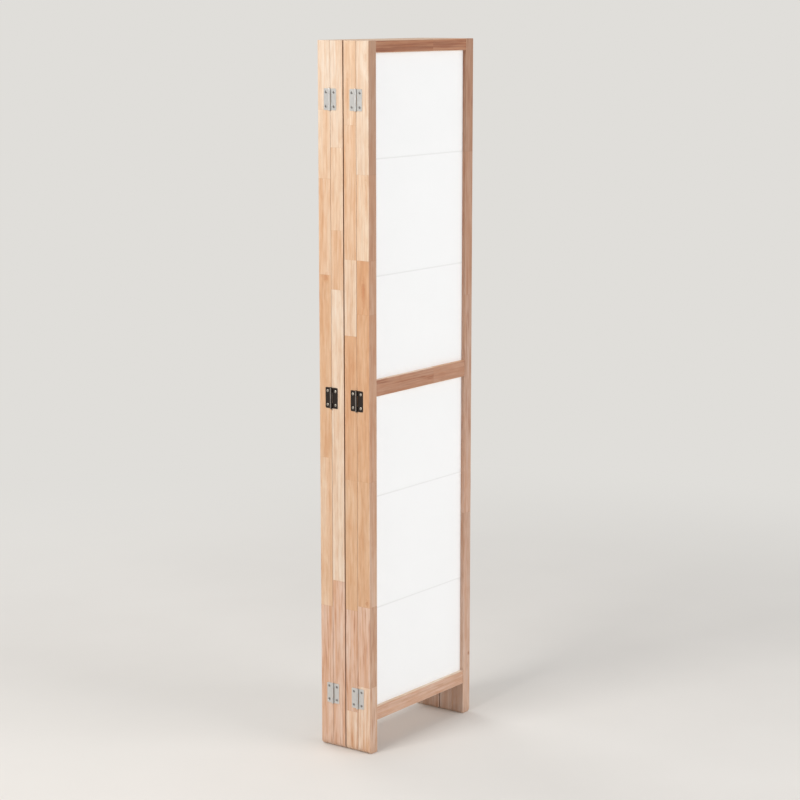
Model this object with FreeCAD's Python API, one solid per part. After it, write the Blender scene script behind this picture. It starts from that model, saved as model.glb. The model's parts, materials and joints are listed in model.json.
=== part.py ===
import FreeCAD, Part
import math
import os

Vector = FreeCAD.Vector

# Folding room divider: four wooden panels hinged edge to edge in a zigzag and folded flat.
# X runs along the panels, Y through the folded stack and Z up. The origin is on the floor, at the
# middle of the stack. Panel 1 is at the front, where Y is lowest.

# Panels and the spaces between them when they are folded
panel_count = 4
panel_height = 1700.0
panel_width = 420.0
panel_depth = 36.0
pair_gap = 0.4
middle_gap = 3.0

# Stiles, the two uprights of a panel
stile_width = 29.0
arris_radius = 0.7
top_corner_radius = 2.0
foot_outer_radius = 12.0
foot_inner_radius = 4.0
foot_face_radius = 3.0

# Rails between the stiles
top_rail_height = 28.0
middle_rail_height = 40.0
bottom_rail_height = 34.0
foot_height = 80.0
rail_setback = 1.0
rail_chamfer = 1.0
tenon_length = 18.0
tenon_thickness = 12.0
tenon_shoulder = 4.0
mortise_room = 0.2

# Panes: each sheet lies in a rebate behind a lip, and beads hold it from behind
lip_depth = 10.0
rebate_width = 7.0
sheet_thickness = 0.8
sheet_edge_room = 1.0
bead_depth = 9.0
bead_chamfer = 3.0
batten_height = 6.0
batten_depth = 5.0
batten_place_shares = (0.32, 0.68)

# Hinges: two flat leaves rolled round a loose pin, screwed on the outer edges of the stiles
hinge_end_distance = 135.0
middle_hinge_drop = 30.0
leaf_height = 50.0
leaf_width = 18.0
leaf_thickness = 1.2
barrel_radius = 2.7
barrel_room = 0.3
leaf_room = 0.5
centre_knuckle_share = 0.5
knuckle_room = 0.4
pin_radius = 1.5
pin_clearance = 0.06
pin_overhang = 1.2

# Screws with low heads that sit in the countersunk holes of the leaves
screw_radius = 1.5
screw_length = 16.0
screw_head_radius = 3.2
screw_head_rise = 0.6
screw_top_share = 0.7
screw_clearance = 0.05
screw_across_share = 0.64
screw_along_share = 0.33

# Knuckles, bores and screws repeat many times, so they have this many flat sides
barrel_sides = 12
screw_sides = 8

# Cuts run this far past the faces they open
overrun = 1.0

os.makedirs("parts", exist_ok=True)


def save(name, shapes):
    """Write one node: a single solid, or a group of separate solids."""
    shape = shapes[0] if len(shapes) == 1 else Part.makeCompound(shapes)
    shape.exportStep(f"parts/{name}.step")


def block(low, high):
    """A box between two opposite corners."""
    size = high - low
    return Part.makeBox(size.x, size.y, size.z, low)


def rounded_section(width, depth, radius):
    """Rectangle in X and Y from the origin, with all four corners rounded."""
    corners = (Vector(), Vector(width, 0, 0), Vector(width, depth, 0), Vector(0, depth, 0))
    edges = []
    for index, corner in enumerate(corners):
        before = (corners[index - 1] - corner).normalize() * radius
        following = corners[(index + 1) % len(corners)]
        after = (following - corner).normalize() * radius
        middle = corner + (before + after) * (1 - math.sqrt(0.5))
        edges.append(Part.Arc(corner + before, middle, corner + after).toShape())
        edges.append(Part.makeLine(corner + after, following - after))
    return Part.Face(Part.Wire(edges))


def corner_cutter(corner, inward, upward, radius, run):
    """What a round corner leaves out: inward and upward are unit steps into the piece, run its length."""
    centre = corner + (inward + upward) * radius
    on_side = corner + upward * radius
    on_end = corner + inward * radius
    middle = centre - (inward + upward) * radius * math.sqrt(0.5)
    outside = corner - (inward + upward) * overrun
    arc = Part.Arc(on_side, middle, on_end).toShape()
    rest = Part.makePolygon([on_end, on_end - upward * overrun, outside, on_side - inward * overrun, on_side])
    along = Vector(run).normalize() * overrun
    face = Part.Face(Part.Wire([arc] + rest.Edges))
    face.translate(along * -1)
    return face.extrude(run + along * 2)


def turned(outline, sides):
    """Solid about Z with flat sides, from an outline of corner radii and heights, lowest first."""
    rings = []
    for radius, height in outline:
        angles = [math.tau * (index + 0.5) / sides for index in range(sides)]
        rings.append([Vector(radius * math.cos(a), radius * math.sin(a), height) for a in angles])
    faces = [Part.Face(Part.makePolygon(ring + ring[:1])) for ring in (rings[0], rings[-1])]
    for lower, upper in zip(rings, rings[1:]):
        for index in range(sides):
            corners = [lower[index - 1], lower[index], upper[index], upper[index - 1]]
            faces.append(Part.Face(Part.makePolygon(corners + corners[:1])))
    solid = Part.Solid(Part.Shell(faces))
    return solid if solid.Volume > 0 else solid.reversed()


# Heights of the rails and of the two panes of a panel, from the floor
bottom_rail_top = foot_height + bottom_rail_height
top_rail_bottom = panel_height - top_rail_height
pane_height = (top_rail_bottom - bottom_rail_top - middle_rail_height) / 2
middle_rail_bottom = bottom_rail_top + pane_height
middle_rail_top = middle_rail_bottom + middle_rail_height
lower_pane = (bottom_rail_top, middle_rail_bottom)
upper_pane = (middle_rail_top, top_rail_bottom)

# Places within a panel whose lip side is its front, at Y zero, and whose middle is X zero
panel_side = panel_width / 2
pane_side = panel_side - stile_width
rebate_side = pane_side + rebate_width
sheet_back = lip_depth + sheet_thickness
bead_back = sheet_back + bead_depth
tenon_front = (panel_depth - tenon_thickness) / 2
tenon_back = tenon_front + tenon_thickness


def rebate(pane):
    """Space behind the lip of a pane, open to the back of the panel."""
    bottom, top = pane
    low = Vector(-rebate_side, lip_depth, bottom - rebate_width)
    high = Vector(rebate_side, panel_depth + overrun, top + rebate_width)
    return block(low, high)


def tenon(core_bottom, core_top, room, end_room):
    """Tenons of one rail as a single bar that runs into both stiles."""
    reach = pane_side + tenon_length + end_room
    low = Vector(-reach, tenon_front - room, core_bottom + tenon_shoulder - room)
    high = Vector(reach, tenon_back + room, core_top - tenon_shoulder + room)
    return block(low, high)


# The full-depth core of each rail, between the rebates above and below it
rail_cores = {
    "top_rail": (top_rail_bottom + rebate_width, panel_height),
    "middle_rail": (middle_rail_bottom + rebate_width, middle_rail_top - rebate_width),
    "bottom_rail": (foot_height, bottom_rail_top - rebate_width),
}
rail_heights = {
    "top_rail": (top_rail_bottom, panel_height),
    "middle_rail": (middle_rail_bottom, middle_rail_top),
    "bottom_rail": (foot_height, bottom_rail_top),
}


def make_rail(name):
    """Rail with chamfered long edges, rebated for the panes beside it, with a tenon at each end."""
    bottom, top = rail_heights[name]
    front = rail_setback
    back = panel_depth - rail_setback
    section = ((front + rail_chamfer, bottom), (back - rail_chamfer, bottom), (back, bottom + rail_chamfer),
               (back, top - rail_chamfer), (back - rail_chamfer, top), (front + rail_chamfer, top),
               (front, top - rail_chamfer), (front, bottom + rail_chamfer))
    points = [Vector(-pane_side, y, z) for y, z in section]
    rail = Part.Face(Part.makePolygon(points + points[:1])).extrude(Vector(pane_side * 2, 0, 0))
    rail = rail.cut(rebate(lower_pane)).cut(rebate(upper_pane))
    core_bottom, core_top = rail_cores[name]
    return rail.fuse(tenon(core_bottom, core_top, 0, 0)).removeSplitter()


def make_stile():
    """Upright at the +X side of a panel: soft arrises, round foot and top, rebates and mortises."""
    section = rounded_section(stile_width, panel_depth, arris_radius)
    section.translate(Vector(pane_side, 0, 0))
    stile = section.extrude(Vector(0, 0, panel_height))
    right = Vector(1, 0, 0)
    back = Vector(0, 1, 0)
    up = Vector(0, 0, 1)
    through = back * panel_depth
    across = right * stile_width
    inner = right * pane_side
    outer = right * panel_side
    top = up * panel_height
    cutters = (
        corner_cutter(inner, right, up, foot_inner_radius, through),
        corner_cutter(outer, right * -1, up, foot_outer_radius, through),
        corner_cutter(inner + top, right, up * -1, top_corner_radius, through),
        corner_cutter(outer + top, right * -1, up * -1, top_corner_radius, through),
        corner_cutter(inner, back, up, foot_face_radius, across),
        corner_cutter(inner + through, back * -1, up, foot_face_radius, across),
    )
    for cutter in cutters:
        stile = stile.cut(cutter)
    stile = stile.cut(rebate(lower_pane)).cut(rebate(upper_pane))
    for core_bottom, core_top in rail_cores.values():
        stile = stile.cut(tenon(core_bottom, core_top, mortise_room, mortise_room))
    return stile


def make_sheet(pane):
    """Thin sheet that lies against the back of the lip all round a pane."""
    bottom, top = pane
    lap = rebate_width - sheet_edge_room
    low = Vector(-pane_side - lap, lip_depth, bottom - lap)
    high = Vector(pane_side + lap, sheet_back, top + lap)
    return block(low, high)


def make_beads(pane):
    """Four chamfered strips that fill the rebate behind the sheet, the upright ones between the others."""
    bottom, top = pane
    flat_back = bead_back - bead_chamfer
    shallow = rebate_width - bead_chamfer
    beads = []
    for edge, inward in ((bottom, 1), (top, -1)):
        wall = edge - rebate_width * inward
        section = ((sheet_back, wall), (bead_back, wall), (bead_back, wall + shallow * inward),
                   (flat_back, edge), (sheet_back, edge))
        points = [Vector(-rebate_side, y, z) for y, z in section]
        face = Part.Face(Part.makePolygon(points + points[:1]))
        beads.append(face.extrude(Vector(rebate_side * 2, 0, 0)))
    for side in (-1, 1):
        section = ((rebate_side, sheet_back), (rebate_side, bead_back), (rebate_side - shallow, bead_back),
                   (pane_side, flat_back), (pane_side, sheet_back))
        points = [Vector(x * side, y, bottom) for x, y in section]
        face = Part.Face(Part.makePolygon(points + points[:1]))
        beads.append(face.extrude(Vector(0, 0, top - bottom)))
    return beads


def make_battens(pane):
    """Slim bars behind the sheet, from bead to bead."""
    bottom, top = pane
    battens = []
    for share in batten_place_shares:
        middle = bottom + (top - bottom) * share
        low = Vector(-pane_side, sheet_back, middle - batten_height / 2)
        high = Vector(pane_side, sheet_back + batten_depth, middle + batten_height / 2)
        battens.append(block(low, high))
    return battens


# Hinge seen from outside: its pin is at the origin, +X points away from the stiles and the leaf is at +Y.
# The barrel just clears the stiles, and a leaf's plate starts clear of the other leaf's knuckles.
axis_offset = barrel_radius + barrel_room
leaf_start = barrel_radius + leaf_room
mounting_plane = -axis_offset
leaf_face = mounting_plane + leaf_thickness
screw_places = [(leaf_width * screw_across_share, leaf_height * screw_along_share * side) for side in (-1, 1)]
knuckle_break = leaf_height * centre_knuckle_share / 2
hinge_heights = {
    "lower": hinge_end_distance,
    "middle": middle_rail_bottom + middle_rail_height / 2 - middle_hinge_drop,
    "upper": panel_height - hinge_end_distance,
}


def make_screw(clearance):
    """Screw along X with its head on the outer face of the leaf, or the hole that takes it."""
    head = screw_head_radius + clearance
    shank = screw_radius + clearance
    outline = ((shank, -screw_length), (shank, -leaf_thickness), (head, 0),
               (head * screw_top_share, screw_head_rise))
    screw = turned(outline, screw_sides)
    screw.rotate(Vector(), Vector(0, 1, 0), 90)
    screw.translate(Vector(leaf_face, 0, 0))
    return screw


def placed_screws(clearance):
    """The two screws of a leaf."""
    screws = []
    for across, along in screw_places:
        screw = make_screw(clearance)
        screw.translate(Vector(0, across, along))
        screws.append(screw)
    return screws


def make_leaf(knuckles):
    """Leaf plate with the given knuckles, each a range of heights, rolled from its inner edge."""
    half = leaf_height / 2
    leaf = block(Vector(mounting_plane, leaf_start, -half), Vector(leaf_face, leaf_width, half))
    for bottom, top in knuckles:
        tab = block(Vector(mounting_plane, 0, bottom), Vector(leaf_face, leaf_start, top))
        barrel = turned(((barrel_radius, bottom), (barrel_radius, top)), barrel_sides)
        leaf = leaf.fuse(tab).fuse(barrel)
    bore_radius = (pin_radius + pin_clearance) / math.cos(math.pi / barrel_sides)
    bore = turned(((bore_radius, -half - overrun), (bore_radius, half + overrun)), barrel_sides)
    leaf = leaf.cut(bore)
    for hole in placed_screws(screw_clearance):
        leaf = leaf.cut(hole)
    return leaf.removeSplitter()


def make_pin():
    """Round pin whose riveted ends stand just past the knuckles."""
    half = leaf_height / 2 + pin_overhang
    return Part.makeCylinder(pin_radius, half * 2, Vector(0, 0, -half))


# The first panel of a joined pair carries the two end knuckles and the pin, the next one the centre knuckle
end_knuckles = ((-leaf_height / 2, -knuckle_break - knuckle_room / 2),
                (knuckle_break + knuckle_room / 2, leaf_height / 2))
centre_knuckle = ((-knuckle_break + knuckle_room / 2, knuckle_break - knuckle_room / 2),)
leaf_with_ends = make_leaf(end_knuckles)
leaf_with_centre = make_leaf(centre_knuckle)
hinge_pin = make_pin()
right_stile = make_stile()
stiles = {1: right_stile, -1: right_stile.mirror(Vector(), Vector(1, 0, 0))}
rails = {name: make_rail(name) for name in rail_heights}


def half_turned(shape, axis):
    """Copy turned half round about an axis through the origin."""
    copy = shape.copy()
    copy.rotate(Vector(), axis, 180)
    return copy


def on_seam(shape, side, next_panel, seam_y, height):
    """Copy of a hinge piece at a seam: side is -1 or +1 along X, and a leaf goes to the seam's other panel."""
    copy = shape.copy()
    if next_panel != (side > 0):
        copy = half_turned(copy, Vector(1, 0, 0))
    if side < 0:
        copy = half_turned(copy, Vector(0, 0, 1))
    copy.translate(Vector((panel_side + axis_offset) * side, seam_y, height))
    return copy


def side_name(side):
    """Word for the X side on which a seam or a stile lies."""
    return "right" if side > 0 else "left"


# Front face of each panel in the folded stack, and the middle of each seam between two panels
gaps = [pair_gap if seam % 2 == 0 else middle_gap for seam in range(panel_count - 1)]
stack_depth = panel_depth * panel_count + sum(gaps)
panel_fronts = [panel_depth * index + sum(gaps[:index]) - stack_depth / 2 for index in range(panel_count)]
seam_places = [panel_fronts[index + 1] - gap / 2 for index, gap in enumerate(gaps)]
seam_sides = [-1 if seam % 2 == 0 else 1 for seam in range(panel_count - 1)]


def in_stack(shape, index):
    """Copy of a panel's piece in the folded stack, where every second panel faces the other way."""
    copy = shape.copy()
    if index % 2 == 1:
        copy = half_turned(copy, Vector(0, 0, 1))
        copy.translate(Vector(0, panel_depth, 0))
    copy.translate(Vector(0, panel_fronts[index], 0))
    return copy


for index in range(panel_count):
    panel = f"panel_{index + 1}"
    for name, rail in rails.items():
        save(f"{panel}_{name}", [in_stack(rail, index)])
    save(f"{panel}_upper_sheet", [in_stack(make_sheet(upper_pane), index)])
    save(f"{panel}_lower_sheet", [in_stack(make_sheet(lower_pane), index)])
    beads = make_beads(lower_pane) + make_beads(upper_pane)
    save(f"{panel}_beads", [in_stack(bead, index) for bead in beads])
    battens = make_battens(lower_pane) + make_battens(upper_pane)
    save(f"{panel}_battens", [in_stack(batten, index) for batten in battens])

    # A panel shares the seam before it and the seam after it, where there are such seams
    seams = [(seam, seam < index) for seam in (index - 1, index) if 0 <= seam < len(gaps)]
    screws = []
    pilot_holes = []
    for seam, is_next in seams:
        side = seam_sides[seam]
        leaf = leaf_with_centre if is_next else leaf_with_ends
        leaves = {}
        for place, height in hinge_heights.items():
            leaves[place] = on_seam(leaf, side, is_next, seam_places[seam], height)
            for screw, hole in zip(placed_screws(0), placed_screws(screw_clearance)):
                screws.append(on_seam(screw, side, is_next, seam_places[seam], height))
                pilot_holes.append(on_seam(hole, side, is_next, seam_places[seam], height))
        save(f"{panel}_{side_name(side)}_leaves", [leaves["lower"], leaves["upper"]])
        save(f"{panel}_{side_name(side)}_middle_leaf", [leaves["middle"]])
    save(f"{panel}_hinge_screws", screws)

    # A panel that faces the other way has its own left stile at the stack's right
    facing = 1 if index % 2 == 0 else -1
    for side in (-1, 1):
        placed = in_stack(stiles[side * facing], index)
        for hole in pilot_holes:
            if hole.BoundBox.Center.x * side > 0:
                placed = placed.cut(hole)
        save(f"{panel}_{side_name(side)}_stile", [placed])

for seam, side in enumerate(seam_sides):
    pins = {}
    for place, height in hinge_heights.items():
        pins[place] = on_seam(hinge_pin, side, False, seam_places[seam], height)
    save(f"hinge_pins_{seam + 1}_{seam + 2}", [pins["lower"], pins["upper"]])
    save(f"middle_hinge_pin_{seam + 1}_{seam + 2}", [pins["middle"]])
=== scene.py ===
"""Looks of the folding room divider: wood, white sheets, hinges, light and camera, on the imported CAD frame."""

import json
import math
import random

import bmesh
import bpy
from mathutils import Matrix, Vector, noise
from mathutils.geometry import tessellate_polygon


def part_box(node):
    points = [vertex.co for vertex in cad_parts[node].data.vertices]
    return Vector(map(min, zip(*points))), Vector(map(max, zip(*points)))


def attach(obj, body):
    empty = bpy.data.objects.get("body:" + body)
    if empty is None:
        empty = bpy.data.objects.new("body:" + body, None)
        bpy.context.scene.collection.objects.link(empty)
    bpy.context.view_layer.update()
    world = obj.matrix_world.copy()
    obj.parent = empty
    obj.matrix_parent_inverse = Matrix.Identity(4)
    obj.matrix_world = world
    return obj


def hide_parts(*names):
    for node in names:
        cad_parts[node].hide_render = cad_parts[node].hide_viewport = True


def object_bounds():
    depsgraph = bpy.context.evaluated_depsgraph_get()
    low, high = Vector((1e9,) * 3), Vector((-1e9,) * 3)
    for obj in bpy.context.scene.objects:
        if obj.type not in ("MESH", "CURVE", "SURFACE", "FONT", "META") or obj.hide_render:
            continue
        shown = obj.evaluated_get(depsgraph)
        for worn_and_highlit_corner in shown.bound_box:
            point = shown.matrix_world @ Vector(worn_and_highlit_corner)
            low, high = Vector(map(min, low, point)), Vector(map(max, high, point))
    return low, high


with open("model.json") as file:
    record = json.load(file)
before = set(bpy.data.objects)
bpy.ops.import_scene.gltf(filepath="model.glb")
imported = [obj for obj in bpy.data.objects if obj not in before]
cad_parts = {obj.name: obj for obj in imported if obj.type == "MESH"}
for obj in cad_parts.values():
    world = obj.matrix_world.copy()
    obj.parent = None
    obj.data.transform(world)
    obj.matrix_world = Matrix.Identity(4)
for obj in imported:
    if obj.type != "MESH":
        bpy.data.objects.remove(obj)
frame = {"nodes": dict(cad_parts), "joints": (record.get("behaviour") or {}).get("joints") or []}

cad_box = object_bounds()
nodes = frame["nodes"]
seams = {joint["name"]: Vector(joint["pos_m"]) for joint in frame["joints"]}

# Lengths in metres. Upright beads lie past STRIP_EDGE from the middle, and stiles past STILE_EDGE
PANELS = (1, 2, 3, 4)
MM = 0.001
BOARD_HEIGHT = cad_box[1][2]
BOARD_WIDTH = 0.44
STRIP_EDGE = 173.5 * MM
STILE_EDGE = 181.0 * MM
BARREL = 2.6 * MM
BARREL_CROWN = abs(seams["fold_1_2"].x) + BARREL


class Shader:
    """A node material, with short ways to add its nodes and join them."""

    def __init__(self, name):
        self.material = bpy.data.materials.new(name)
        self.material.use_nodes = True
        self.tree = self.material.node_tree
        self.surface = self.tree.nodes["Principled BSDF"]
        self.coords = self.tree.nodes.new("ShaderNodeTexCoord")
        self.point = self.coords.outputs["Object"]

    def put(self, socket, value):
        """Link a socket to another node's output, or set it to a constant."""
        if isinstance(value, bpy.types.NodeSocket):
            self.tree.links.new(value, socket)
        else:
            socket.default_value = value

    def calc(self, operation, a, b=0.0):
        node = self.tree.nodes.new("ShaderNodeMath")
        node.operation = operation
        self.put(node.inputs[0], a)
        self.put(node.inputs[1], b)
        return node.outputs[0]

    def add(self, *values):
        total = values[0]
        for value in values[1:]:
            total = self.calc("ADD", total, value)
        return total

    def less(self, a, b):
        return self.calc("SUBTRACT", a, b)

    def times(self, a, b):
        return self.calc("MULTIPLY", a, b)

    def most(self, a, b):
        return self.calc("MAXIMUM", a, b)

    def size(self, value):
        return self.calc("ABSOLUTE", value)

    def parts(self, vector):
        node = self.tree.nodes.new("ShaderNodeSeparateXYZ")
        self.put(node.inputs[0], vector)
        return node.outputs[0], node.outputs[1], node.outputs[2]

    def vector(self, x, y, z):
        node = self.tree.nodes.new("ShaderNodeCombineXYZ")
        for socket, value in zip(node.inputs, (x, y, z)):
            self.put(socket, value)
        return node.outputs[0]

    def stretched(self, *rates):
        """The place on the object, with each axis multiplied by its rate."""
        return self.vector(*(self.times(part, rate) for part, rate in zip(self.parts(self.point), rates)))

    def length(self, vector):
        node = self.tree.nodes.new("ShaderNodeVectorMath")
        node.operation = "LENGTH"
        self.put(node.inputs[0], vector)
        return node.outputs["Value"]

    def noise(self, vector, scale=1.0, detail=2.0, rough=0.5, bend=0.0):
        node = self.tree.nodes.new("ShaderNodeTexNoise")
        self.put(node.inputs["Vector"], vector)
        node.inputs["Scale"].default_value = scale
        node.inputs["Detail"].default_value = detail
        node.inputs["Roughness"].default_value = rough
        node.inputs["Distortion"].default_value = bend
        return node.outputs[0]

    def within(self, value, low, high):
        """Smooth step from 0 at low to 1 at high."""
        node = self.tree.nodes.new("ShaderNodeMapRange")
        node.interpolation_type = "SMOOTHSTEP"
        self.put(node.inputs["Value"], value)
        node.inputs["From Min"].default_value = low
        node.inputs["From Max"].default_value = high
        return node.outputs[0]

    def short_of(self, value, low, high):
        """Smooth step from 1 at low to 0 at high."""
        return self.less(1.0, self.within(value, low, high))

    def ramp(self, factor, stops, steps=False):
        """Colour ramp, smooth or in steps."""
        node = self.tree.nodes.new("ShaderNodeValToRGB")
        self.put(node.inputs[0], factor)
        node.color_ramp.interpolation = "CONSTANT" if steps else "LINEAR"
        points = node.color_ramp.elements
        for index, (place, colour) in enumerate(stops):
            point = points[index] if index < len(points) else points.new(place)
            point.position = place
            point.color = (*colour, 1.0)
        while len(points) > len(stops):
            points.remove(points[-1])
        return node.outputs[0]

    def mix(self, factor, a, b, blend="MIX"):
        node = self.tree.nodes.new("ShaderNodeMix")
        node.data_type = "RGBA"
        node.blend_type = blend
        self.put(node.inputs[0], factor)
        for socket, value in ((node.inputs[6], a), (node.inputs[7], b)):
            self.put(socket, value if isinstance(value, bpy.types.NodeSocket) else (*value, 1.0))
        return node.outputs[2]

    def stain(self, factor, colour, tone):
        """The colour multiplied by a tone, as far as factor says."""
        return self.mix(factor, colour, tone, "MULTIPLY")

    def bump(self, height, distance):
        node = self.tree.nodes.new("ShaderNodeBump")
        self.put(node.inputs["Height"], height)
        node.inputs["Distance"].default_value = distance
        node.inputs["Strength"].default_value = 1.0
        self.put(self.surface.inputs["Normal"], node.outputs[0])

    def set(self, **values):
        """Set or link inputs of the surface shader, with _ for the spaces in their names."""
        for name, value in values.items():
            self.put(self.surface.inputs[name.replace("_", " ")], value)


# Kinds of block that the boards are glued up from: the colour, and how strongly it is flecked
CREAM = ((0.80, 0.635, 0.495), 0.20)
OAT = ((0.795, 0.615, 0.468), 0.25)
ALMOND = ((0.785, 0.575, 0.41), 0.25)
SAND = ((0.82, 0.612, 0.465), 1.0)
PEACH = ((0.755, 0.515, 0.345), 0.30)
HONEY = ((0.712, 0.447, 0.272), 0.25)
TAN = ((0.685, 0.40, 0.228), 0.25)
BEIGE = ((0.73, 0.485, 0.355), 1.0)

# Tones that the grain multiplies the wood's colour by, over the range of its noise
PLAIN = (1.0, 1.0, 1.0)
LIFTS = [(0.0, (0.93, 0.92, 0.91)), (1.0, (1.07, 1.08, 1.09))]
STRIPES = [(0.34, (0.87, 0.70, 0.55)), (0.50, PLAIN), (0.66, (1.05, 1.19, 1.34))]
PATCHES = [(0.32, (0.93, 0.85, 0.78)), (0.50, PLAIN), (0.68, (1.04, 1.10, 1.16))]
FLOWS = [(0.30, (0.93, 0.90, 0.87)), (0.70, (1.05, 1.06, 1.07))]
FIBRES = [(0.30, (0.91, 0.89, 0.87)), (0.70, (1.04, 1.04, 1.04))]

# Tones of single marks in the wood
VEIN = (0.66, 0.50, 0.42)
LATE_WOOD = (0.84, 0.70, 0.58)
FLECK = (0.80, 0.66, 0.59)
PORE = (0.70, 0.56, 0.45)
BLOTCH = (0.84, 0.64, 0.50)
KNOT = (0.45, 0.30, 0.22)
GLUE = (0.66, 0.52, 0.42)
END_GRAIN = (0.74, 0.60, 0.48)
# Paler tone of rounded corners: partly wear, partly painted highlight
RUBBED_AND_HIGHLIT = (0.88, 0.72, 0.56)
# Tone that darkens the feet towards the floor
FOOT_DARKENING = (0.70, 0.60, 0.52)

# How far blocks shift their grain, knots push it, the feet darken towards the floor and the grain stands out, in
# metres
BLOCK_SHIFT = 9.0
KNOT_PUSH = 10.0 * MM
FOOT_DARKENING_HEIGHT = 30.0 * MM
WOOD_RELIEF = 0.10 * MM

# Half width of a glue line as a share of the board, and how many samples the renderer keeps of a ramp
GLUE_SHARE = 0.0006
RAMP_SAMPLES = 256


def blemishes(s, marks):
    """How far each place is in a blotch, and in the dark heart of a knot."""
    x, y, z = s.parts(s.point)
    blot = heart = 0.0
    for mark_x, mark_y, mark_z, radius, length, depth in marks:
        away = s.vector(s.times(s.less(x, mark_x), 1 / radius), s.times(s.less(y, mark_y), 1 / radius),
                        s.times(s.less(z, mark_z), 1 / length))
        ragged = s.times(s.noise(s.point, scale=130.0, detail=3.0), 0.9)
        near = s.short_of(s.add(s.length(away), ragged, -0.45), 0.15, 1.3)
        blot = s.most(blot, s.times(near, min(depth, 1.0)))
        heart = s.most(heart, s.times(s.calc("POWER", near, 5.0), max(depth - 0.7, 0.0)))
    return blot, heart


def wood(name, along, seed, blocks, face_tones_with_painted_shade, figure=0.6, veins=0.2, marks=()):
    """Lacquered board of blocks glued end to end, with the grain along X or Z, or along each strip of a frame.

    blocks are places along the board, from 0 to 1, where a block starts, with its kind of wood.
    The broad faces have their own mean colours, from the floor, 0, to the top, 1: partly the wood cut across the
    rings, partly painted shade, darker than the edges that face the key lamp.
    figure is how strongly those faces are streaked, veins how dark their veins are, and marks are blotches
    and knots."""
    s = Shader(name)
    x, y, z = s.parts(s.point)
    normal = [s.size(part) for part in s.parts(s.coords.outputs["Normal"])]
    height_share = s.times(z, 1 / BOARD_HEIGHT)
    if along == "Z":
        run, across, share = z, x, height_share
    else:
        run, across, share = x, z, s.add(s.times(x, 1 / BOARD_WIDTH), 0.5)
    if along == "strips":
        upright = s.within(s.size(x), STRIP_EDGE - 0.1 * MM, STRIP_EDGE + 0.1 * MM)
        run = s.add(x, s.times(upright, s.less(z, x)))
        across = s.add(z, s.times(upright, s.less(x, z)))

    # Every block has its own tone and its own stretch of grain
    draw = random.Random(seed)

    def by_block(values):
        return s.ramp(share, [(place, value) for (place, kind), value in zip(blocks, values)], steps=True)

    tone = by_block([kind[0] for place, kind in blocks])
    chance = s.parts(by_block([[draw.random() for _ in range(3)] for _ in blocks]))
    flecked, lifted, _ = s.parts(by_block([(kind[1], draw.random(), 0.0) for place, kind in blocks]))

    # Blotches and knots push the grain aside
    blot, heart = blemishes(s, marks)
    push = s.times(blot, KNOT_PUSH)
    u = s.add(across, s.times(chance[0], BLOCK_SHIFT), push)
    v = s.add(y, s.times(chance[1], BLOCK_SHIFT), push)
    w = s.add(run, s.times(chance[2], BLOCK_SHIFT))

    def grain(fine, coarse, detail, rough=0.5, bend=0.0):
        """Noise with so many waves per metre across the grain and along it."""
        place = s.vector(s.times(u, fine), s.times(v, fine), s.times(w, coarse))
        return s.noise(place, detail=detail, rough=rough, bend=bend)

    broad = grain(48.0, 3.0, 2.0)
    streak = grain(170.0, 7.0, 2.0, 0.6, 0.3)
    mottle = grain(85.0, 20.0, 2.0, 0.55, 0.5)
    flow = grain(420.0, 13.0, 3.0, 0.6)
    fibre = grain(1100.0, 30.0, 2.0)
    vein = s.within(grain(300.0, 4.0, 3.0, 0.6), 0.42, 0.64)
    fleck = s.within(grain(215.0, 12.0, 1.0), 0.54, 0.70)
    pores = s.within(grain(1700.0, 80.0, 1.0), 0.63, 0.72)
    tilt = s.add(s.times(u, 640.0), s.times(s.times(v, chance[0]), 560.0))
    rings = s.calc("SINE", s.add(tilt, s.times(broad, 26.0)))
    late = s.calc("POWER", s.add(s.times(rings, 0.5), 0.5), 4.0)

    # Base tone of the edges and of the faces, then the grain over it. The faces' darker tone is partly painted
    # shade; the inner edges of stiles take it too, as painted shade in the gaps between the panels
    face = s.within(normal[1], 0.55, 0.85)
    if along == "Z":
        # Inner edges of stiles get the faces' tone: painted shade where the panels shade them
        face = s.most(face, s.short_of(s.size(x), STILE_EDGE + 0.2 * MM, STILE_EDGE + 0.6 * MM))
    # The faces take their own tone, partly painted shade
    colour = s.mix(face, tone, s.stain(1.0, s.ramp(height_share, face_tones_with_painted_shade), s.ramp(lifted, LIFTS)))
    colour = s.stain(0.75, colour, s.ramp(mottle, PATCHES))
    edge_figure = s.add(0.51, s.times(flecked, 0.45))
    strength = s.add(edge_figure, s.times(face, s.less(figure, edge_figure)))
    band = s.add(s.times(broad, 0.5), s.times(streak, 0.5))
    colour = s.stain(strength, colour, s.ramp(band, STRIPES))
    colour = s.stain(s.times(s.times(vein, face), veins), colour, VEIN)
    colour = s.stain(s.times(late, 0.16), colour, LATE_WOOD)
    colour = s.stain(1.0, colour, s.ramp(flow, FLOWS))
    colour = s.stain(0.6, colour, s.ramp(fibre, FIBRES))
    colour = s.stain(s.times(fleck, flecked), colour, FLECK)
    colour = s.stain(s.times(pores, 0.25), colour, PORE)
    colour = s.stain(blot, colour, BLOTCH)
    colour = s.stain(heart, colour, KNOT)

    # Glue lines between the blocks, at the sample of the ramp where its step shows
    for place, kind in blocks[1:]:
        step = math.ceil(place * RAMP_SAMPLES) / RAMP_SAMPLES
        line = s.short_of(s.size(s.less(share, step)), 0.0, GLUE_SHARE)
        colour = s.stain(s.times(line, 0.22), colour, GLUE)

    if along == "Z":
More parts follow.
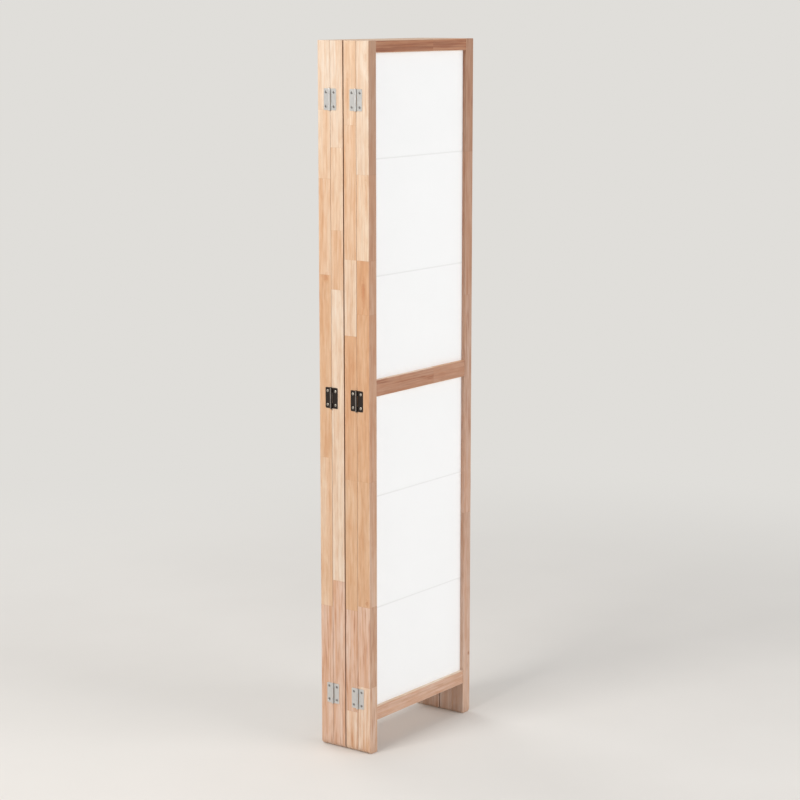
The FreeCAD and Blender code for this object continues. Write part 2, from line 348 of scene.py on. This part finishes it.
        # End grain on the top and the foot, in arcs round the heart of the tree
        end = s.within(normal[2], 0.6, 0.9)
        heart_x, heart_y = s.add(x, 0.05 * seed), s.add(y, 0.2)
        from_heart = s.calc("SQRT", s.add(s.calc("POWER", heart_x, 2.0), s.calc("POWER", heart_y, 2.0)))
        arcs = s.calc("SINE", s.times(from_heart, 2200.0))
        dots = s.noise(s.stretched(1500.0, 1500.0, 0.0), detail=2.0)
        sawn = s.stain(s.add(0.25, s.times(arcs, 0.2), s.times(dots, 0.4)), colour, END_GRAIN)
        colour = s.mix(end, colour, sawn)

    # Corners paler, partly worn and partly painted highlight; feet a little darker towards the floor
    widest = s.most(normal[0], s.most(normal[1], normal[2]))
    worn_and_highlit_corner = s.short_of(widest, 0.86, 0.99)
    colour = s.mix(s.times(worn_and_highlit_corner, s.times(flow, 0.45)), colour, RUBBED_AND_HIGHLIT)
    # The feet darken towards the floor
    darker_near_floor = s.times(s.short_of(z, 0.0, FOOT_DARKENING_HEIGHT), s.add(0.15, s.times(flow, 0.4)))
    colour = s.stain(darker_near_floor, colour, FOOT_DARKENING)

    s.set(Base_Color=colour, Roughness=s.add(0.40, s.times(fibre, 0.16), s.times(pores, 0.15)))
    s.set(Coat_Weight=0.08, Coat_Roughness=0.34)
    relief = s.add(s.times(fibre, 0.5), s.times(flow, 0.3), s.times(late, 0.25), s.times(pores, -0.6))
    s.bump(relief, WOOD_RELIEF)
    return s.material


SHEET_TONES = [(0.3, (0.925, 0.934, 0.945)), (0.7, (0.948, 0.957, 0.968))]
SHEET_RELIEF = 0.08 * MM
# Grey of the painted shadow along each lap
LAP_SHADOW_GREY = (0.76, 0.765, 0.765)


def sheet_white(name, lap_heights):
    """Matt white sheet of pressed fibres, with a faint grey line where two widths lap over a batten: painted
    shadow of the lap's edge and of the batten behind the sheet.
    """
    s = Shader(name)
    z = s.parts(s.point)[2]
    cloud = s.noise(s.point, scale=9.0, detail=2.0)
    long_fibre = s.noise(s.stretched(240.0, 240.0, 1100.0), detail=3.0, bend=0.6)
    cross_fibre = s.noise(s.stretched(1100.0, 240.0, 240.0), detail=3.0, bend=0.6)
    fibre = s.most(long_fibre, cross_fibre)
    colour = s.ramp(s.add(s.times(cloud, 0.5), s.times(fibre, 0.5)), SHEET_TONES)
    # Painted shadow along each lap
    line = 0.0
    for height in lap_heights:
        line = s.most(line, s.short_of(s.size(s.less(z, height)), 1.0 * MM, 2.2 * MM))
    colour = s.mix(s.times(line, 0.55), colour, LAP_SHADOW_GREY)
    s.set(Base_Color=colour, Roughness=s.add(0.72, s.times(fibre, 0.2)))
    s.set(Sheen_Weight=0.08, Sheen_Roughness=0.6)
    s.bump(fibre, SHEET_RELIEF)
    return s.material


# How much scratches show, and how far down the barrel's crown turns paler, partly worn and partly painted
# highlight
SCRATCHED = 0.05
PALE_CROWN_DEPTH = 0.9 * MM
METAL_RELIEF = 0.0012 * MM


def metal(name, colour, rough, metallic=1.0, gloss=0.5, crown_wear_and_highlight=None):
    """Plated or blackened steel with fine drawn lines along the barrel and small scratches.

    The last argument is a colour for the crown of the barrel: partly wear from hands and cloths, partly painted
    highlight where the key lamp shines on it."""
    s = Shader(name)
    drawn = s.noise(s.stretched(2600.0, 2600.0, 60.0), detail=2.0)
    cloud = s.noise(s.point, scale=160.0, detail=3.0)
    scratches = s.within(s.noise(s.stretched(300.0, 900.0, 900.0), detail=4.0, bend=1.2), 0.64, 0.70)
    shade = s.ramp(cloud, [(0.3, tuple(0.92 * c for c in colour)), (0.7, colour)])
    bare = tuple(min(1.0, c * 1.5 + 0.08) for c in colour)
    shade = s.mix(s.times(scratches, SCRATCHED), shade, bare)
    if crown_wear_and_highlight:
        # Paler crown of the barrel: partly wear, partly painted highlight
        crown = s.within(s.size(s.parts(s.point)[0]), BARREL_CROWN - PALE_CROWN_DEPTH, BARREL_CROWN)
        shade = s.mix(s.times(crown, s.add(0.35, s.times(cloud, 0.9))), shade, crown_wear_and_highlight)
    s.set(Base_Color=shade, Metallic=metallic, Specular_IOR_Level=gloss)
    s.set(Roughness=s.add(rough, s.times(drawn, 0.08), s.times(cloud, 0.08), -0.08))
    s.bump(s.add(s.times(drawn, 0.6), s.times(scratches, -0.3)), METAL_RELIEF)
    return s.material


def add_object(name, data):
    """Put a new object with this data in the scene."""
    obj = bpy.data.objects.new(name, data)
    bpy.context.scene.collection.objects.link(obj)
    return obj


def dress(node, material):
    """Give a CAD node its material."""
    data = nodes[node].data
    data.materials.clear()
    data.materials.append(material)


# Mean colours of the broad faces of each member, from the floor up, their streaks and their veins. The colours are
# partly painted shade: darker and redder than the edges that face the key lamp, and on the stiles darker towards
# the top
FACES_WITH_PAINTED_SHADE = {
    "left_stile": ([(0.0, (0.645, 0.43, 0.308)), (0.2, (0.615, 0.396, 0.275)), (0.5, (0.52, 0.305, 0.197)),
                    (1.0, (0.50, 0.295, 0.19))], 0.7, 0.2),
    "right_stile": ([(0.0, (0.715, 0.53, 0.43)), (0.2, (0.636, 0.421, 0.316)), (0.5, (0.505, 0.312, 0.222)),
                     (1.0, (0.46, 0.25, 0.155))], 0.7, 0.25),
    "top_rail": ([(0.0, (0.45, 0.212, 0.114))], 1.0, 1.0),
    "middle_rail": ([(0.0, (0.51, 0.268, 0.165))], 0.9, 0.35),
    "bottom_rail": ([(0.0, (0.607, 0.383, 0.272))], 0.6, 0.3),
}
# Mean colour of the faces of the beads and battens, partly painted shade like the faces above
STRIP_FACE_WITH_PAINTED_SHADE = [(0.0, (0.55, 0.33, 0.22))]

# Blocks of the four stiles whose edges show at the left, from the floor up
SHOWN_BLOCKS = {
    "panel_1_left_stile": [(0.0, SAND), (0.094, BEIGE), (0.211, HONEY), (0.394, TAN), (0.627, TAN),
                           (0.702, ALMOND), (0.82, OAT)],
    "panel_2_left_stile": [(0.0, SAND), (0.056, BEIGE), (0.205, HONEY), (0.392, TAN), (0.597, OAT),
                           (0.703, PEACH), (0.885, ALMOND)],
    "panel_3_left_stile": [(0.0, BEIGE), (0.243, OAT), (0.657, PEACH), (0.74, ALMOND), (0.852, CREAM)],
    "panel_4_left_stile": [(0.0, BEIGE), (0.207, PEACH), (0.418, HONEY), (0.678, PEACH), (0.81, ALMOND),
                           (0.905, CREAM)],
}

# Blotches and knots: place, half width, half length, depth
MARKS = {
    "panel_1_left_stile": [(-0.210, -0.065, 1.662, 0.006, 0.012, 0.35), (-0.210, -0.066, 1.34, 0.005, 0.06, 0.4),
                           (-0.210, -0.058, 1.115, 0.007, 0.04, 0.7), (-0.210, -0.068, 0.375, 0.007, 0.011, 0.65)],
    "panel_2_left_stile": [(-0.210, -0.014, 1.565, 0.005, 0.06, 0.5)],
    "panel_4_left_stile": [(-0.210, 0.052, 1.15, 0.008, 0.014, 0.65)],
    "panel_1_right_stile": [(0.204, -0.074, 0.155, 0.005, 0.007, 1.3)],
    "panel_4_right_stile": [(0.190, 0.074, 0.62, 0.006, 0.009, 1.4), (0.210, 0.055, 1.32, 0.005, 0.008, 1.2)],
    "panel_4_middle_rail": [(0.06, 0.073, 0.899, 0.009, 0.006, 1.3)],
}
CHANCE_KINDS = (CREAM, ALMOND, SAND, PEACH, PEACH, TAN, BEIGE)


def chance_blocks(seed, least, most):
    """Blocks of chance length and kind, for boards that the photograph doesn't show."""
    draw = random.Random(seed)
    blocks, place = [], 0.0
    while place < 1.0 - least / 2:
        blocks.append((place, draw.choice(CHANCE_KINDS)))
        place += least + (most - least) * draw.random()
    return blocks


for panel in PANELS:
    for order, (member, face_look_with_painted_shade) in enumerate(FACES_WITH_PAINTED_SHADE.items()):
        node = f"panel_{panel}_{member}"
        seed = 10 * panel + order
        if member.endswith("stile"):
            along, blocks = "Z", SHOWN_BLOCKS.get(node) or chance_blocks(seed, 0.10, 0.34)
        else:
            along, blocks = "X", chance_blocks(seed, 0.45, 1.0)
        dress(node, wood(f"{node}_wood", along, seed, blocks, *face_look_with_painted_shade, MARKS.get(node, ())))
    strip_blocks = chance_blocks(panel, 0.4, 0.9)
    strips = wood(f"panel_{panel}_strip_wood", "strips", 10 * panel + 7, strip_blocks, STRIP_FACE_WITH_PAINTED_SHADE)
    dress(f"panel_{panel}_beads", strips)
    dress(f"panel_{panel}_battens", strips)

nickel = metal("bright_nickel", (0.70, 0.695, 0.685), 0.34)
zinc = metal("screw_zinc", (0.55, 0.51, 0.45), 0.30)
# Darker screws on the bright hinges: partly their steel, partly painted shade of their recesses
steel = metal("screw_steel_and_recess_shade", (0.36, 0.35, 0.34), 0.30)
black = metal("black_steel", (0.017, 0.010, 0.007), 0.42, metallic=0.0, gloss=0.3, crown_wear_and_highlight=(0.27, 0.235, 0.21))


def piece(name, bm, materials, body, replaced, sharp=35.0):
    """Finish a mesh as a piece that rides on a body in place of CAD nodes."""
    bmesh.ops.recalc_face_normals(bm, faces=bm.faces)
    mesh = bpy.data.meshes.new(name)
    bm.to_mesh(mesh)
    bm.free()
    mesh.shade_smooth()
    mesh.set_sharp_from_angle(angle=math.radians(sharp))
    for material in materials:
        mesh.materials.append(material)
    obj = add_object(name, mesh)
    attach(obj, body)
    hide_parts(*replaced)
    return obj


def ring(bm, points):
    return [bm.verts.new(point) for point in points]


def bridge(bm, lower, upper):
    """Band of faces between two closed loops of as many points."""
    count = len(lower)
    for i in range(count):
        j = (i + 1) % count
        bm.faces.new((lower[i], lower[j], upper[j], upper[i]))


def cap(bm, *loops):
    """Flat face inside the first loop and outside the others."""
    corners = [vertex for loop in loops for vertex in loop]
    for triangle in tessellate_polygon([[vertex.co for vertex in loop] for loop in loops]):
        bm.faces.new([corners[i] for i in triangle])


def circle(radius, count=24):
    angles = [math.tau * i / count for i in range(count)]
    return [(radius * math.cos(angle), radius * math.sin(angle)) for angle in angles]


class Hinge:
    """Places on one hinge: out is away from the stiles, lateral towards the leaf's panel, up along the pin."""

    def __init__(self, axis, outward, lateral, height):
        self.axis, self.outward, self.lateral, self.height = axis, outward, lateral, height

    def at(self, out, lateral, up):
        x = self.axis.x + self.outward * out
        return Vector((x, self.axis.y + self.lateral * lateral, self.height + up))


leaf_low, leaf_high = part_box("panel_1_left_middle_leaf")
stile_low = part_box("panel_1_left_stile")[0]
LEAF_HEIGHT = leaf_high.z - leaf_low.z
LEAF_WIDTH = 18.0 * MM
FLAT_START = BARREL + 0.5 * MM
LEAF_CORNER = 2.6 * MM
CORNER_STEPS = 8
LEAF_EASE = 0.22 * MM
PLATE = 1.2 * MM
HOLE = 1.8 * MM
COUNTERSINK = 3.55 * MM
BORE = 1.5 * MM
KNUCKLE_ROOM = 0.4 * MM
KNUCKLE_EASE = 0.18 * MM
ROLL_DEGREES = 292
ROLL_STEPS = 30
MOUNT = stile_low.x - seams["fold_1_2"].x
SCREW_ACROSS = 0.64 * LEAF_WIDTH
SCREW_ALONG = 0.33 * LEAF_HEIGHT
LEAF_SHARP = 22.0


def add_plate(bm, hinge):
    """Flat of a leaf, with round outer corners, eased edges and countersunk holes."""
    inner, outer, half = FLAT_START, LEAF_WIDTH, LEAF_HEIGHT / 2

    def outline(inset):
        points = [(inner + inset, -half + inset), (outer - LEAF_CORNER, -half + inset)]
        for corner_up, start in ((-half + LEAF_CORNER, -90), (half - LEAF_CORNER, 0)):
            for step in range(CORNER_STEPS + 1):
                angle = math.radians(start + 90 * step / CORNER_STEPS)
                reach = LEAF_CORNER - inset
                points.append((outer - LEAF_CORNER + reach * math.cos(angle), corner_up + reach * math.sin(angle)))
        return points + [(outer - LEAF_CORNER, half - inset), (inner + inset, half - inset)]

    levels = [(-MOUNT, 0.0), (-MOUNT + PLATE - LEAF_EASE, 0.0), (-MOUNT + PLATE, LEAF_EASE)]
    loops = [ring(bm, [hinge.at(out, *spot) for spot in outline(inset)]) for out, inset in levels]
    holes_low, holes_high = [], []
    for side in (-1, 1):
        for holes, out, radius in ((holes_low, -MOUNT, HOLE), (holes_high, -MOUNT + PLATE, COUNTERSINK)):
            spots = [(SCREW_ACROSS + a, SCREW_ALONG * side + b) for a, b in circle(radius)]
            holes.append(ring(bm, [hinge.at(out, *spot) for spot in spots]))
    bridge(bm, loops[0], loops[1])
    bridge(bm, loops[1], loops[2])
    cap(bm, loops[0], *holes_low)
    cap(bm, loops[2], *holes_high)
    for low, high in zip(holes_low, holes_high):
        bridge(bm, low, high)


def add_knuckle(bm, hinge, bottom, top):
    """Strip of the leaf rolled round the pin until it nearly meets the flat again."""
    under, over = -MOUNT, -MOUNT + PLATE
    start = BARREL + 0.7 * MM
    # Places out and to the side along both faces of the strip, from the flat into the bend
    outer = [(under, start), (under, 2.2 * MM), (under + 0.08 * MM, 1.1 * MM)]
    inner = [(over, start), (over, 2.2 * MM), (-BORE - 0.08 * MM, 0.9 * MM)]
    for step in range(ROLL_STEPS + 1):
        angle = math.radians(-90 - ROLL_DEGREES * step / ROLL_STEPS)
        outer.append((BARREL * math.sin(angle), BARREL * math.cos(angle)))
        inner.append((BORE * math.sin(angle), BORE * math.cos(angle)))
    section = outer + inner[::-1]
    middle = [(0.5 * (a[0] + b[0]), 0.5 * (a[1] + b[1])) for a, b in zip(outer, inner)]
    centres = middle + middle[::-1]
    loops = []
    for up, inset in ((bottom, KNUCKLE_EASE), (bottom + KNUCKLE_EASE, 0.0), (top - KNUCKLE_EASE, 0.0),
                      (top, KNUCKLE_EASE)):
        share = inset / (PLATE / 2)
        spots = [(p[0] + (c[0] - p[0]) * share, p[1] + (c[1] - p[1]) * share) for p, c in zip(section, centres)]
        loops.append(ring(bm, [hinge.at(*spot, up) for spot in spots]))
    for lower, upper in zip(loops, loops[1:]):
        bridge(bm, lower, upper)
    for loop in (loops[0], loops[-1]):
        for i in range(len(outer) - 1):
            bm.faces.new((loop[i], loop[i + 1], loop[-2 - i], loop[-1 - i]))


# Radius and height over the leaf's end of a pin's head, and radius and height over the leaf of a screw, in mm
PIN_HEAD = ((0.7, 1.4), (1.4, 1.2), (1.9, 0.85), (2.15, 0.45), (2.2, 0.05), (2.05, 0.0), (1.45, 0.0))
SCREW = ((1.45, -3.0), (1.5, -1.15), (3.05, -0.05), (3.2, 0.08), (3.0, 0.28), (2.6, 0.44), (2.05, 0.56))

# Arm, half width and height over the leaf of the cross recess at its mouth and at its floor, in mm
RECESS_MOUTH = (1.85, 0.55, 0.6)
RECESS_FLOOR = (1.35, 0.32, -0.9)
PIN_SIDES = 28


def add_pin(bm, hinge):
    """Loose pin with a crowned head at each end."""
    tops = [(radius * MM, LEAF_HEIGHT / 2 + rise * MM) for radius, rise in PIN_HEAD]
    profile = tops + [(radius, -up) for radius, up in reversed(tops)]
    loops = [ring(bm, [hinge.at(a, b, up) for a, b in circle(radius, PIN_SIDES)]) for radius, up in profile]
    for upper, lower in zip(loops, loops[1:]):
        bridge(bm, upper, lower)
    cap(bm, loops[0])
    cap(bm, loops[-1])


def add_screw(bm, hinge, side, turn, finish):
    """Oval-headed screw with a cross recess, in the countersink of a leaf, with a finish by its number."""
    older = set(bm.faces)

    def spots(points, out):
        return [hinge.at(PLATE - MOUNT + out, SCREW_ACROSS + a, SCREW_ALONG * side + b) for a, b in points]

    def cross(arm, half_width):
        points = []
        for quarter in range(4):
            angle = turn + quarter * math.pi / 2
            c, n = math.cos(angle), math.sin(angle)
            for a, b in ((half_width, -half_width), (arm, -half_width), (arm, half_width)):
                points.append(((a * c - b * n) * MM, (a * n + b * c) * MM))
        return points

    loops = [ring(bm, spots(circle(radius * MM), out * MM)) for radius, out in SCREW]
    for lower, upper in zip(loops, loops[1:]):
        bridge(bm, lower, upper)
    cap(bm, loops[0])
    mouth, floor = [ring(bm, spots(cross(arm, half_width), out * MM))
                    for arm, half_width, out in (RECESS_MOUTH, RECESS_FLOOR)]
    cap(bm, loops[-1], mouth)
    bridge(bm, mouth, floor)
    bm.faces.new(floor[::3])
    for inner in range(0, len(floor), 3):
        bm.faces.new((*floor[inner:inner + 3], floor[(inner + 3) % len(floor)]))
    for polygon in bm.faces:
        if polygon not in older:
            polygon.material_index = finish


def pair_heights(node):
    """Middles of the lower and the upper hinge whose leaves or pins a CAD node holds."""
    low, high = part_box(node)
    return low.z + LEAF_HEIGHT / 2, high.z - LEAF_HEIGHT / 2


# Ends of the knuckles on the pin: the leaf of the lower panel number has the outer two, the other the middle one
end_heights = pair_heights("panel_1_left_leaves")
middle_heights = ((leaf_low.z + leaf_high.z) / 2,)
half_room = KNUCKLE_ROOM / 2
parting = LEAF_HEIGHT / 4
end_knuckles = ((-LEAF_HEIGHT / 2, -parting - half_room), (parting + half_room, LEAF_HEIGHT / 2))
centre_knuckle = ((-parting + half_room, parting - half_room),)
screw_meshes = {panel: bmesh.new() for panel in PANELS}

for seam in (1, 2, 3):
    axis = seams[f"fold_{seam}_{seam + 1}"]
    outward = 1 if axis.x > 0 else -1
    side_word = "right" if axis.x > 0 else "left"
    for panel, lateral, knuckles in ((seam, -1, end_knuckles), (seam + 1, 1, centre_knuckle)):
        for kind, heights, material, slot, finish in (
                ("leaves", end_heights, nickel, "bright_metal", 0),
                ("middle_leaf", middle_heights, black, "dark_metal", 1)):
            bm = bmesh.new()
            for height in heights:
                hinge = Hinge(axis, outward, lateral, height)
                add_plate(bm, hinge)
                for bottom, top in knuckles:
                    add_knuckle(bm, hinge, bottom, top)
                for side in (-1, 1):
                    # Every screw is left at a turn of its own
                    turn = 0.4 + 1.7 * side + 2.3 * height + panel
                    add_screw(screw_meshes[panel], hinge, side, turn, finish)
            node = f"panel_{panel}_{side_word}_{kind}"
            piece(f"{node}_detail", bm, (material,), f"panel_{panel}", [node], sharp=LEAF_SHARP)
    for node, heights, material, slot in (
            (f"hinge_pins_{seam}_{seam + 1}", end_heights, nickel, "bright_metal"),
            (f"middle_hinge_pin_{seam}_{seam + 1}", middle_heights, black, "dark_metal")):
        bm = bmesh.new()
        for height in heights:
            add_pin(bm, Hinge(axis, outward, 1, height))
        piece(f"{node}_detail", bm, (material,), f"panel_{seam}", [node])

for panel in PANELS:
    node = f"panel_{panel}_hinge_screws"
    piece(f"{node}_detail", screw_meshes[panel], (steel, zinc), f"panel_{panel}", [node])

# Sheets lap at the middle of each batten
batten_edges = sorted({round(v.co.z, 5) for v in nodes["panel_1_battens"].data.vertices})
lap_heights = [(a + b) / 2 for a, b in zip(batten_edges[::2], batten_edges[1::2])]
white = sheet_white("white_sheet", lap_heights)

# How far a sheet goes into its rebate, the form of its laps, its slack and its grid
REBATE = 6.0 * MM
HALF_LAP = 1.6 * MM
LAP_LIP = 0.12 * MM
LAP_RISE = 0.22 * MM
LAP_ROOM = 3.0 * MM
SLACK = 0.30 * MM
SLACK_CHANGE = 0.25 * MM
TAUT_EDGE = 60.0 * MM
SHEET_COLUMNS = 34
SHEET_ROWS = 64
SHEET_SHARP = 50.0


def make_sheet(panel, which):
    """Stretched sheet in its rebate: flat where it is held, slack between the battens, lapped over them."""
    node = f"panel_{panel}_{which}_sheet"
    low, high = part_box(node)
    left, right = low.x + REBATE, high.x - REBATE
    laps = [height for height in lap_heights if low.z < height < high.z]
    stops = [low.z + REBATE, *laps, high.z - REBATE]
    columns = [low.x + (high.x - low.x) * i / SHEET_COLUMNS for i in range(SHEET_COLUMNS + 1)]
    columns = sorted(columns + [left, right])
    rows = [low.z + (high.z - low.z) * i / SHEET_ROWS for i in range(SHEET_ROWS + 1)]
    rows = [row for row in rows if min(abs(row - lap) for lap in laps) > LAP_ROOM]
    rows += [stops[0], stops[-1]]
    lap_rows = (-HALF_LAP - LAP_LIP, -HALF_LAP, HALF_LAP, HALF_LAP + LAP_LIP)
    rows = sorted(rows + [lap + part for lap in laps for part in lap_rows])
    show = -1 if panel % 2 == 1 else 1
    front, back = (low.y, high.y) if show < 0 else (high.y, low.y)

    def slack(x, z):
        """How far the sheet stands forward of flat, between where it is held."""
        if not (left < x < right and stops[0] < z < stops[-1]):
            return 0.0
        side = min(x - left, right - x)
        below = max(stop for stop in stops if stop <= z)
        above = min(stop for stop in stops if stop >= z)
        rise = math.sin(math.pi * (z - below) / (above - below)) if above > below else 0.0
        rise = max(rise, 0.0) * min(1.0, side / TAUT_EDGE)
        ripple = noise.noise(Vector((x * 7.0, z * 5.0, panel * 3.7 + (which == "upper") * 9.1)))
        return rise * (SLACK + SLACK_CHANGE * ripple)

    def surface(bm, base, lap_rise):
        """Grid of points and faces over one side of the sheet."""
        grid = []
        for z in rows:
            lapped = any(abs(z - lap) < HALF_LAP + 0.01 * MM for lap in laps)
            step = lap_rise if lapped else 0.0
            line = []
            for x in columns:
                forward = slack(x, z) + (step if left < x < right else 0.0)
                line.append(bm.verts.new((x, base + show * forward, z)))
            grid.append(line)
        for under, over in zip(grid, grid[1:]):
            for c in range(len(columns) - 1):
                bm.faces.new((under[c], under[c + 1], over[c + 1], over[c]))
        return grid

    def rim(grid):
        right_side, left_side = [line[-1] for line in grid[1:]], [line[0] for line in grid[-2:0:-1]]
        return grid[0] + right_side + grid[-1][-2::-1] + left_side

    bm = bmesh.new()
    bridge(bm, *[rim(surface(bm, *side)) for side in ((front, LAP_RISE), (back, 0.0))])
    obj = piece(f"{node}_detail", bm, (white,), f"panel_{panel}", [node], sharp=SHEET_SHARP)


for panel in PANELS:
    for which in ("upper", "lower"):
        make_sheet(panel, which)

# Half width of the floor and where it fades into the backdrop, in metres, then its colours and the soft light
FLOOR_HALF = 30.0
FADE_START, FADE_END = 0.9, 3.2
BACKDROP = (0.745, 0.73, 0.70)
PAPER_TONES = [(0.3, (0.745, 0.725, 0.70)), (0.7, (0.765, 0.745, 0.72))]
WORLD_LIGHT = 0.5

floor_data = bpy.data.meshes.new("floor")
floor_corners = [(a * FLOOR_HALF, b * FLOOR_HALF, 0.0) for a, b in ((-1, -1), (1, -1), (1, 1), (-1, 1))]
floor_data.from_pydata(floor_corners, [], [(0, 1, 2, 3)])
floor = add_object("floor", floor_data)


def seen_directly(tree):
    """1 for rays from the camera and from gloss or glass, 0 for the light that falls on the object."""
    path = tree.nodes.new("ShaderNodeLightPath")
    value = path.outputs["Is Camera Ray"]
    for name in ("Is Glossy Ray", "Is Transmission Ray"):
        node = tree.nodes.new("ShaderNodeMath")
        node.operation = "MAXIMUM"
        tree.links.new(value, node.inputs[0])
        tree.links.new(path.outputs[name], node.inputs[1])
        value = node.outputs[0]
    return value


def show_either(tree, share, first, second, output):
    """Mix two shaders by a share of the second, into an output node."""
    blend = tree.nodes.new("ShaderNodeMixShader")
    for socket, value in zip(blend.inputs, (share, first, second)):
        tree.links.new(value, socket)
    tree.links.new(blend.outputs[0], tree.nodes[output].inputs["Surface"])


# Paper floor near the object, which keeps its shadow and fades into the backdrop further off
paper = Shader("floor_paper")
paper_tone = paper.ramp(paper.noise(paper.point, scale=2.5, detail=3.0), PAPER_TONES)
paper.set(Base_Color=paper_tone, Roughness=0.9)
far = paper.within(paper.length(paper.point), FADE_START, FADE_END)
fade = paper.times(far, seen_directly(paper.tree))
glow = paper.tree.nodes.new("ShaderNodeEmission")
glow.inputs["Color"].default_value = (*BACKDROP, 1.0)
show_either(paper.tree, fade, paper.surface.outputs[0], glow.outputs[0], "Material Output")
floor_data.materials.append(paper.material)

world = bpy.data.worlds.new("studio")
bpy.context.scene.world = world
world.use_nodes = True
tree = world.node_tree
light_node = tree.nodes["Background"]
light_node.inputs["Color"].default_value = (1.0, 0.995, 0.985, 1.0)
light_node.inputs["Strength"].default_value = WORLD_LIGHT
shown_node = tree.nodes.new("ShaderNodeBackground")
shown_node.inputs["Color"].default_value = (*BACKDROP, 1.0)
show_either(tree, seen_directly(tree), light_node.outputs[0], shown_node.outputs[0], "World Output")


def lamp(name, place, aim, size, power, colour):
    """Soft square lamp that points at a place."""
    data = bpy.data.lights.new(name, "AREA")
    data.size = size
    data.energy = power
    data.color = colour
    obj = add_object(name, data)
    obj.location = place
    obj.rotation_euler = (Vector(aim) - Vector(place)).to_track_quat("-Z", "Y").to_euler()


lamp("key", (-3.05, 0.3, 2.7), (0.0, 0.0, 0.7), 1.5, 70.0, (1.0, 0.97, 0.93))
lamp("fill", (0.8, -4.2, 2.0), (0.0, 0.0, 0.8), 2.6, 84.0, (1.0, 1.0, 1.0))
lamp("back", (1.6, 4.2, 2.4), (0.0, 0.0, 0.8), 2.6, 60.0, (1.0, 0.99, 0.97))

camera_data = bpy.data.cameras.new("camera")
camera_data.lens = 98.74
camera_data.sensor_width = 36.0
camera_data.clip_end = 200.0
camera = add_object("camera", camera_data)
camera.location = (-4.2299, -3.1355, 1.7846)
camera.rotation_euler = (math.radians(79.739), 0.0, math.radians(-53.523))
bpy.context.scene.camera = camera
bpy.context.scene.view_settings.view_transform = "Standard"
